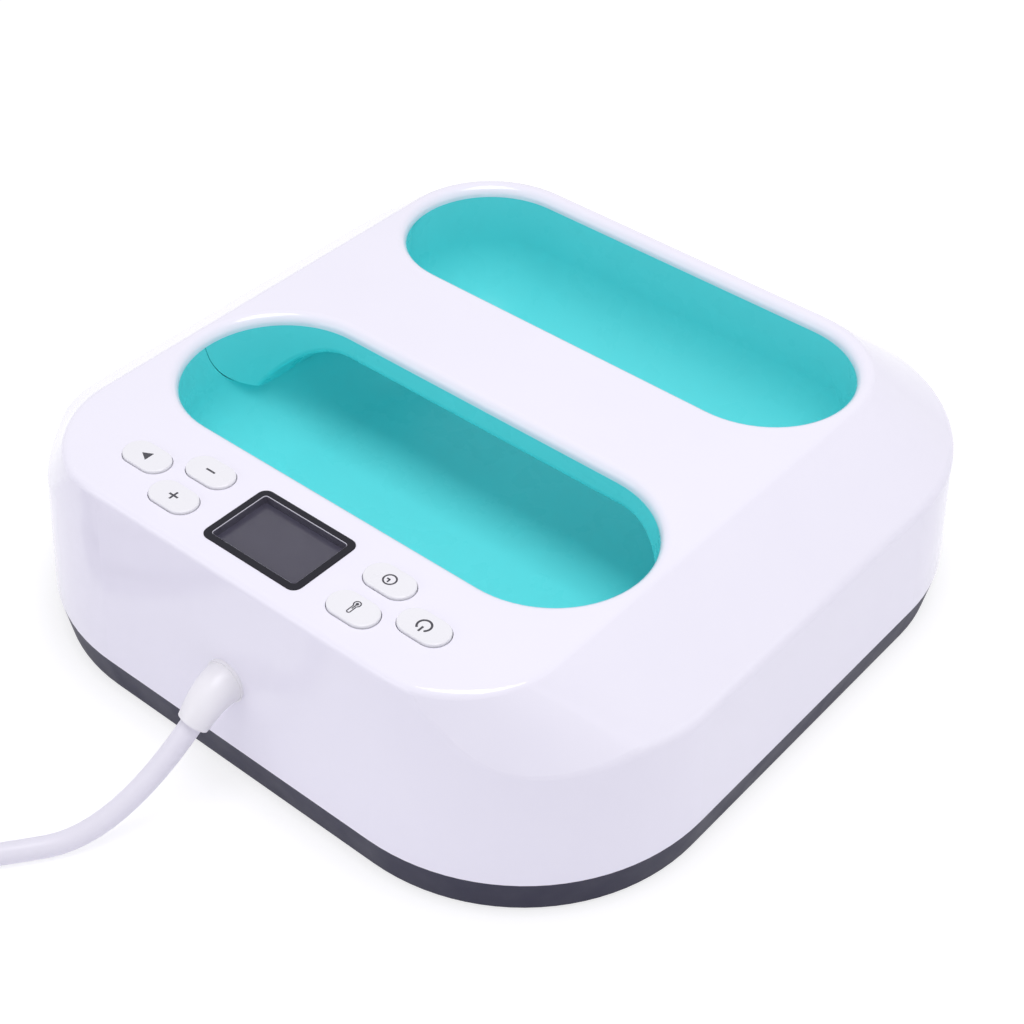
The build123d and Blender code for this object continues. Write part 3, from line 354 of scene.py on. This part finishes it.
# %% Buttons and boot
# The caps are more neutral and duller than the shell, which sets them off from it.
button_abs = moulded_plastic("Satin white button ABS", "#F0F0F3", "#EAEAEE", 0.30,
                             (3.0, 0.003), (0.4, 0.0010))
dress(button_abs, "power_button", "timer_button", "temperature_button", "plus_button", "minus_button",
      "start_button")
# Soft PVC spreads its highlight over the round of the boot.
boot_pvc = moulded_plastic("Soft white PVC", "#F1F0F3", "#E9E8EC", 0.34, (4.0, 0.010), (0.5, 0.0020))
dress(boot_pvc, "strain_relief")

# %% [markdown]
# ## The cord's sheath
# The sheath is extruded PVC, softer and duller than the covers. Pulling it through its die leaves it
# smooth, with a faint drag in its tint. The plug is moulded from the same PVC.

# %% Sheath and plug
sheath_pvc = moulded_plastic("Extruded white PVC sheath", "#E9E7F0", "#E2E0EA", 0.36,
                             (5.0, 0.010), (0.7, 0.0020))
cord_curve.materials.append(sheath_pvc)
dress(sheath_pvc, "cord_stretch", "cord_coil", "cord_tail", "plug_body")

# %% [markdown]
# ## The display
# The display is off. Behind a clear window lies a dark grey liquid crystal glass. The window itself
# is a thin sheet that is drawn as fully clear, and its gloss is left to the glass below it, which
# gives the same look without noise.
#
# The frame round it is a dark moulding whose corners are rounder than the opening below. Its flat rim
# lies on the shell. The inner edge is a chamfer with a fine pale line painted on it as a highlight, and a
# greyer wall, painted as a band of shade, goes down from there to the glass.

# %% Three materials of the display's frame: its black, a painted highlight and a painted band of shade
# The rim is the darkest line of the press; the chamfer carries a painted highlight, its finest light line,
# and the wall a painted band of shade, in tone between them.
bezel_abs = moulded_plastic("Black display frame ABS", "#141320", "#11101C", 0.30,
                            (3.0, 0.003), (0.5, 0.0010), 0.22)
# Pale grey painted on the chamfer as a highlight: the fine light line along the frame's inner edge.
chamfer_painted_highlight = moulded_plastic("Chamfer with painted highlight", "#CFCED8", "#C3C2CD", 0.10,
                                  (3.0, 0.001), (0.5, 0.0002))
# Grey painted on the wall as the band of shade between the window's edge and the glass, lighter than the
# frame's black.
wall_painted_shade_band = moulded_plastic("Wall under the window with painted shade band", "#5C5A67", "#565461", 0.40,
                           (3.0, 0.003), (0.5, 0.0010), 0.3)

# %% The frame, a loft through rounded rectangles
# Lengths in this cell and the next are in millimetres.
CORNER_STEPS = 9
RIM_HEIGHT = 0.3
GLASS_GAP = 0.02
frame_low, frame_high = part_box("lcd_bezel")
glass_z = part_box("lcd_module")[1].z / MM + GLASS_GAP
rim_z = frame_high.z / MM
shell_z = rim_z - RIM_HEIGHT
middle = (frame_low + frame_high) / 2

# Each ring is half its length, half its width, its corner radius, its height and the finish above it
FRAME_RINGS = [
    (22.3, 15.7, 3.6, shell_z, bezel_abs),
    (22.3, 15.7, 3.6, shell_z + 0.12, bezel_abs),
    (22.1, 15.5, 3.4, rim_z, bezel_abs),
    (19.5, 13.0, 1.4, rim_z, chamfer_painted_highlight),
    (19.3, 12.8, 1.2, rim_z - 0.2, wall_painted_shade_band),
    (19.3, 12.8, 1.2, glass_z, wall_painted_shade_band),
    (21.3, 14.8, 2.3, glass_z, wall_painted_shade_band),
    (21.3, 14.8, 2.3, shell_z, bezel_abs)]


def rounded_ring(shape, half_x, half_y, radius, height):
    """Corners of a rounded rectangle round the middle of the display."""
    points = []
    for quarter, (side_x, side_y) in enumerate(((1, 1), (-1, 1), (-1, -1), (1, -1))):
        for step in range(CORNER_STEPS):
            angle = math.radians(90.0 * (quarter + step / (CORNER_STEPS - 1)))
            x = side_x * (half_x - radius) + radius * math.cos(angle)
            y = side_y * (half_y - radius) + radius * math.sin(angle)
            points.append(shape.verts.new((middle.x + x * MM, middle.y + y * MM, height * MM)))
    return points


def loft(shape, lower, upper, slot):
    """A closed band of faces between two rings with the same number of corners."""
    for index in range(len(lower)):
        after = (index + 1) % len(lower)
        band = shape.faces.new((lower[index], lower[after], upper[after], upper[index]))
        band.material_index = slot


def finished_piece(name, shape, finishes, node):
    """Turn a shape into a piece that rides on the press and stands for a CAD node."""
    bmesh.ops.recalc_face_normals(shape, faces=shape.faces)
    mesh = bpy.data.meshes.new(name)
    shape.to_mesh(mesh)
    shape.free()
    for finish in finishes:
        mesh.materials.append(finish)
    piece = bpy.data.objects.new(name, mesh)
    bpy.context.scene.collection.objects.link(piece)
    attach(piece, "press")
    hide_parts(node)
    print(name, "faces", len(mesh.polygons))


finishes = [bezel_abs, chamfer_painted_highlight, wall_painted_shade_band]
shape = bmesh.new()
rings = [rounded_ring(shape, *ring[:4]) for ring in FRAME_RINGS]
for index, ring in enumerate(FRAME_RINGS):
    loft(shape, rings[index], rings[(index + 1) % len(rings)], finishes.index(ring[4]))
finished_piece("display_frame", shape, finishes, "lcd_bezel")

# %% The window, a rounded sheet
# Half its length, half its width and its corner radius, and how far its faces lie below the rim
WINDOW_OUTLINE = (19.25, 12.75, 1.15)
WINDOW_BOTTOM = 0.9
WINDOW_TOP = 0.4
window_acrylic = bpy.data.materials.new("Clear acrylic window")
window_acrylic.use_nodes = True
tree = window_acrylic.node_tree
tree.nodes.clear()
acrylic = add(tree, "ShaderNodeBsdfPrincipled",
              {"Base Color": linear("#4A4852"), "Roughness": 0.05, "IOR": 1.49, "Alpha": 0.0})
add(tree, "ShaderNodeOutputMaterial", None, {"Surface": acrylic.outputs["BSDF"]})
shape = bmesh.new()
sheet_low = rounded_ring(shape, *WINDOW_OUTLINE, rim_z - WINDOW_BOTTOM)
sheet_high = rounded_ring(shape, *WINDOW_OUTLINE, rim_z - WINDOW_TOP)
loft(shape, sheet_low, sheet_high, 0)
shape.faces.new(sheet_low)
shape.faces.new(sheet_high)
finished_piece("display_window", shape, [window_acrylic], "lcd_window")

# %% The glass of the display
# A slow change of tone, as of a film behind glass, keeps the switched-off display from looking painted.
lcd_glass = bpy.data.materials.new("Dark liquid crystal glass")
lcd_glass.use_nodes = True
tree = lcd_glass.node_tree
tree.nodes.clear()
place = add(tree, "ShaderNodeTexCoord").outputs["Object"]
film = add(tree, "ShaderNodeTexNoise", {"Scale": 1 / (9 * MM), "Detail": 2.0}, {"Vector": place})
tone = add(tree, "ShaderNodeMix", {"data_type": "RGBA", 6: linear("#474553"), 7: linear("#4C4A58")},
           {0: film.outputs["Fac"]})
glass = add(tree, "ShaderNodeBsdfPrincipled", {"Roughness": 0.22, "IOR": 1.52, "Specular IOR Level": 0.4},
            {"Base Color": tone.outputs[2]})
add(tree, "ShaderNodeOutputMaterial", None, {"Surface": glass.outputs["BSDF"]})
dress(lcd_glass, "lcd_module")

# %% [markdown]
# ## The signs on the buttons
# Each sign is pad-printed: a film of dark grey ink about 0.02 mm thick. It is drawn a little thicker
# here, so that it never flickers against the cap. A sign is a flat shape made with bmesh, and it
# rides on its button, so it sinks with the cap when the button is pressed.

# %% Ink, and the flat shapes that the signs are made of
# The ink is matt and a little uneven, so a sign looks printed and not cut out.
INK_THICKNESS = 0.04 * MM
ink = bpy.data.materials.new("Dark grey pad-print ink")
ink.use_nodes = True
tree = ink.node_tree
tree.nodes.clear()
place = add(tree, "ShaderNodeTexCoord").outputs["Object"]
speckle = add(tree, "ShaderNodeTexNoise", {"Scale": 1 / (0.3 * MM), "Detail": 3.0}, {"Vector": place})
tone = add(tree, "ShaderNodeMix", {"data_type": "RGBA", 6: linear("#34333B"), 7: linear("#46454D")},
           {0: speckle.outputs["Fac"]})
film = add(tree, "ShaderNodeBsdfPrincipled", {"Roughness": 0.45, "IOR": 1.5},
           {"Base Color": tone.outputs[2]})
add(tree, "ShaderNodeOutputMaterial", None, {"Surface": film.outputs["BSDF"]})


def flat_bar(shape, centre, size):
    """A rectangle, in millimetres from the middle of the sign."""
    matrix = (Matrix.Translation((*[c * MM for c in centre], 0.0))
              @ Matrix.Diagonal((size[0] * MM, size[1] * MM, 1.0, 1.0)))
    bmesh.ops.create_grid(shape, x_segments=1, y_segments=1, size=0.5, matrix=matrix)


def flat_ring(shape, centre, radius, stroke, start=0.0, sweep=360.0):
    """A ring, or a part of one, spun from one short edge."""
    middle = Vector((*[c * MM for c in centre], 0.0))
    ray = Vector((math.cos(math.radians(start)), math.sin(math.radians(start)), 0.0))
    ends = [shape.verts.new(middle + ray * (radius + half * stroke) * MM) for half in (-0.5, 0.5)]
    edge = shape.edges.new(ends)
    bmesh.ops.spin(shape, geom=ends + [edge], cent=middle, axis=(0, 0, 1), angle=math.radians(sweep),
                   steps=max(8, int(sweep / 9)), use_merge=sweep > 359.0)


def flat_disc(shape, centre, radius, corners=24):
    """A filled circle, or with three corners a triangle that points along X."""
    bmesh.ops.create_circle(shape, cap_ends=True, segments=corners, radius=radius * MM,
                            matrix=Matrix.Translation((*[c * MM for c in centre], 0.0))
                            @ Matrix.Rotation(math.radians(-90.0), 4, "Z"))


def print_sign(button, draw):
    """Draw a sign, give it the thickness of the ink and put it on its button."""
    low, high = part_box(button)
    shape = bmesh.new()
    draw(shape)
    bmesh.ops.recalc_face_normals(shape, faces=shape.faces)
    top = bmesh.ops.extrude_face_region(shape, geom=shape.faces[:])
    raised = [part for part in top["geom"] if isinstance(part, bmesh.types.BMVert)]
    bmesh.ops.translate(shape, verts=raised, vec=(0, 0, INK_THICKNESS))
    bmesh.ops.recalc_face_normals(shape, faces=shape.faces)
    cap_top = ((low.x + high.x) / 2, (low.y + high.y) / 2, high.z)
    bmesh.ops.translate(shape, verts=shape.verts, vec=cap_top)
    mesh = bpy.data.meshes.new(button.replace("_button", "_sign"))
    shape.to_mesh(mesh)
    shape.free()
    mesh.materials.append(ink)
    sign = bpy.data.objects.new(mesh.name, mesh)
    bpy.context.scene.collection.objects.link(sign)
    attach(sign, button)
    print(mesh.name, "faces", len(mesh.polygons))


# %% Draw the six signs
# The signs' sizes are in millimetres. STROKE is the width of a printed line.
STROKE = 0.78


def draw_power(shape):
    flat_ring(shape, (0, 0), 2.5, STROKE, start=125.0, sweep=290.0)
    flat_bar(shape, (0, 1.8), (STROKE, 2.6))


def draw_clock(shape):
    flat_ring(shape, (0, 0), 2.3, STROKE * 0.8)
    flat_bar(shape, (0, 0.7), (STROKE * 0.8, 1.4))
    flat_bar(shape, (0.5, 0), (1.4, STROKE * 0.8))


def draw_thermometer(shape):
    line = STROKE * 0.55
    flat_ring(shape, (0, -1.9), 1.25, line, start=120.0, sweep=300.0)
    flat_disc(shape, (0, -1.9), 0.62)
    flat_ring(shape, (0, 2.2), 0.64, line, start=0.0, sweep=180.0)
    for side in (-1, 1):
        flat_bar(shape, (side * 0.64, 0.75), (line, 2.9))
    flat_bar(shape, (0, -0.3), (line, 2.0))


def draw_plus(shape):
    arm = 2.05
    length = arm - STROKE / 2
    flat_bar(shape, (0, 0), (2 * arm, STROKE))
    for side in (-1, 1):
        flat_bar(shape, (0, side * (arm - length / 2)), (STROKE, length))


def draw_minus(shape):
    flat_bar(shape, (0, 0), (4.1, STROKE))


def draw_start(shape):
    flat_disc(shape, (0, 0), 2.5, corners=3)


SIGNS = {"power_button": draw_power, "timer_button": draw_clock, "temperature_button": draw_thermometer,
         "plus_button": draw_plus, "minus_button": draw_minus, "start_button": draw_start}
for button, draw in SIGNS.items():
    print_sign(button, draw)

# %% [markdown]
# ## Under and inside the press
# The heating plate is cast aluminium with a sprayed non-stick coating, dark grey and slightly
# speckled. The screws and the shield are zinc-plated steel. The pieces inside can't be seen
# until the model is taken apart, but they get honest finishes too.

# %% Non-stick coating
# Small pale flecks in a dull dark film tell the eye that this is sprayed and not bare metal.
coating = bpy.data.materials.new("Sprayed non-stick coating")
coating.use_nodes = True
tree = coating.node_tree
tree.nodes.clear()
place = add(tree, "ShaderNodeTexCoord").outputs["Object"]
spray = add(tree, "ShaderNodeTexNoise", {"Scale": 1 / (0.9 * MM), "Detail": 5.0, "Roughness": 0.65},
            {"Vector": place})
flecks = add(tree, "ShaderNodeTexVoronoi", {"Scale": 1 / (2.6 * MM)}, {"Vector": place})
fleck = add(tree, "ShaderNodeMapRange", {"From Min": 0.0, "From Max": 0.16, "To Min": 1.0, "To Max": 0.0},
            {"Value": flecks.outputs["Distance"]})
tone = add(tree, "ShaderNodeMix", {"data_type": "RGBA", 6: linear("#333337"), 7: linear("#3D3D42")},
           {0: spray.outputs["Fac"]})
tone = add(tree, "ShaderNodeMix", {"data_type": "RGBA", 7: linear("#5D5D64")},
           {0: fleck.outputs["Result"], 6: tone.outputs[2]})
skin = add(tree, "ShaderNodeBump", {"Strength": 1.0, "Distance": 0.02 * MM},
           {"Height": spray.outputs["Fac"]})
film = add(tree, "ShaderNodeBsdfPrincipled", {"Roughness": 0.46, "IOR": 1.38},
           {"Base Color": tone.outputs[2], "Normal": skin.outputs["Normal"]})
add(tree, "ShaderNodeOutputMaterial", None, {"Surface": film.outputs["BSDF"]})
dress(coating, "heating_plate")


# %% Metals
def plated_metal(name, colour, shade, roughness, grain_mm):
    """A plated or rolled metal with a soft spangle in its colour and its gloss."""
    material = bpy.data.materials.new(name)
    material.use_nodes = True
    tree = material.node_tree
    tree.nodes.clear()
    place = add(tree, "ShaderNodeTexCoord").outputs["Object"]
    spangle = add(tree, "ShaderNodeTexNoise", {"Scale": 1 / (grain_mm * MM), "Detail": 4.0},
                  {"Vector": place})
    tone = add(tree, "ShaderNodeMix", {"data_type": "RGBA", 6: linear(colour), 7: linear(shade)},
               {0: spangle.outputs["Fac"]})
    gloss = add(tree, "ShaderNodeMapRange", {"To Min": roughness * 0.8, "To Max": roughness * 1.25},
                {"Value": spangle.outputs["Fac"]})
    metal = add(tree, "ShaderNodeBsdfPrincipled", {"Metallic": 1.0},
                {"Base Color": tone.outputs[2], "Roughness": gloss.outputs["Result"]})
    add(tree, "ShaderNodeOutputMaterial", None, {"Surface": metal.outputs["BSDF"]})
    return material


zinc = plated_metal("Zinc-plated steel", "#C3C5C8", "#B4B6BA", 0.32, 1.5)
dress(zinc, "shell_screws", "liner_screws", "handle_screws", "plate_screws", "clamp_plate_screws",
      "shield_screws", "board_screws", "power_board_screws", "cord_clamp_screws", "element_clamp_plate",
      "heat_shield", "temperature_sensor", "thermal_cutout")
nickel = plated_metal("Nickel-plated brass", "#D6D0C4", "#C9C2B4", 0.20, 3.0)
dress(nickel, "plug_pins")


# %% Plain technical materials inside
def technical(name, colour, shade, roughness, grain_mm, relief_mm):
    """A dull material with a visible grain, such as mica, fibre, ceramic or a circuit board."""
    material = bpy.data.materials.new(name)
    material.use_nodes = True
    tree = material.node_tree
    tree.nodes.clear()
    place = add(tree, "ShaderNodeTexCoord").outputs["Object"]
    grain = add(tree, "ShaderNodeTexNoise", {"Scale": 1 / (grain_mm * MM), "Detail": 6.0, "Roughness": 0.6},
                {"Vector": place})
    tone = add(tree, "ShaderNodeMix", {"data_type": "RGBA", 6: linear(colour), 7: linear(shade)},
               {0: grain.outputs["Fac"]})
    skin = add(tree, "ShaderNodeBump", {"Strength": 1.0, "Distance": relief_mm * MM},
               {"Height": grain.outputs["Fac"]})
    body = add(tree, "ShaderNodeBsdfPrincipled", {"Roughness": roughness},
               {"Base Color": tone.outputs[2], "Normal": skin.outputs["Normal"]})
    add(tree, "ShaderNodeOutputMaterial", None, {"Surface": body.outputs["BSDF"]})
    return material


dress(technical("Bonded mica sheet", "#B9A98C", "#A08F70", 0.55, 3.0, 0.02), "heating_element")
dress(technical("Needled glass fibre", "#E8E6DF", "#D2CFC5", 0.90, 1.2, 0.30), "insulation_blanket")
dress(technical("Steatite ceramic", "#EAE7DE", "#DEDACF", 0.60, 0.8, 0.01), "plate_standoffs", "fuse")
dress(technical("Silicone sleeve", "#DAD7CE", "#CFCBC1", 0.50, 2.0, 0.01), "heater_leads", "sensor_leads",
      "mains_wires", "signal_ribbon")
dress(technical("Green solder mask", "#1B5A34", "#174E2D", 0.35, 1.0, 0.01), "control_board", "power_board")
dress(technical("Black moulded epoxy", "#27272B", "#2F2F33", 0.48, 0.7, 0.01), "button_switches",
      "power_supply_module", "power_relay", "buzzer")
dress(technical("Green polyamide", "#2E7D4A", "#297243", 0.45, 0.8, 0.01), "terminal_block")

# %% [markdown]
# ## Finish
# The view transform is Standard, so a colour in the render is the colour of the material.

# %% Finish
bpy.context.scene.view_settings.view_transform = "Standard"
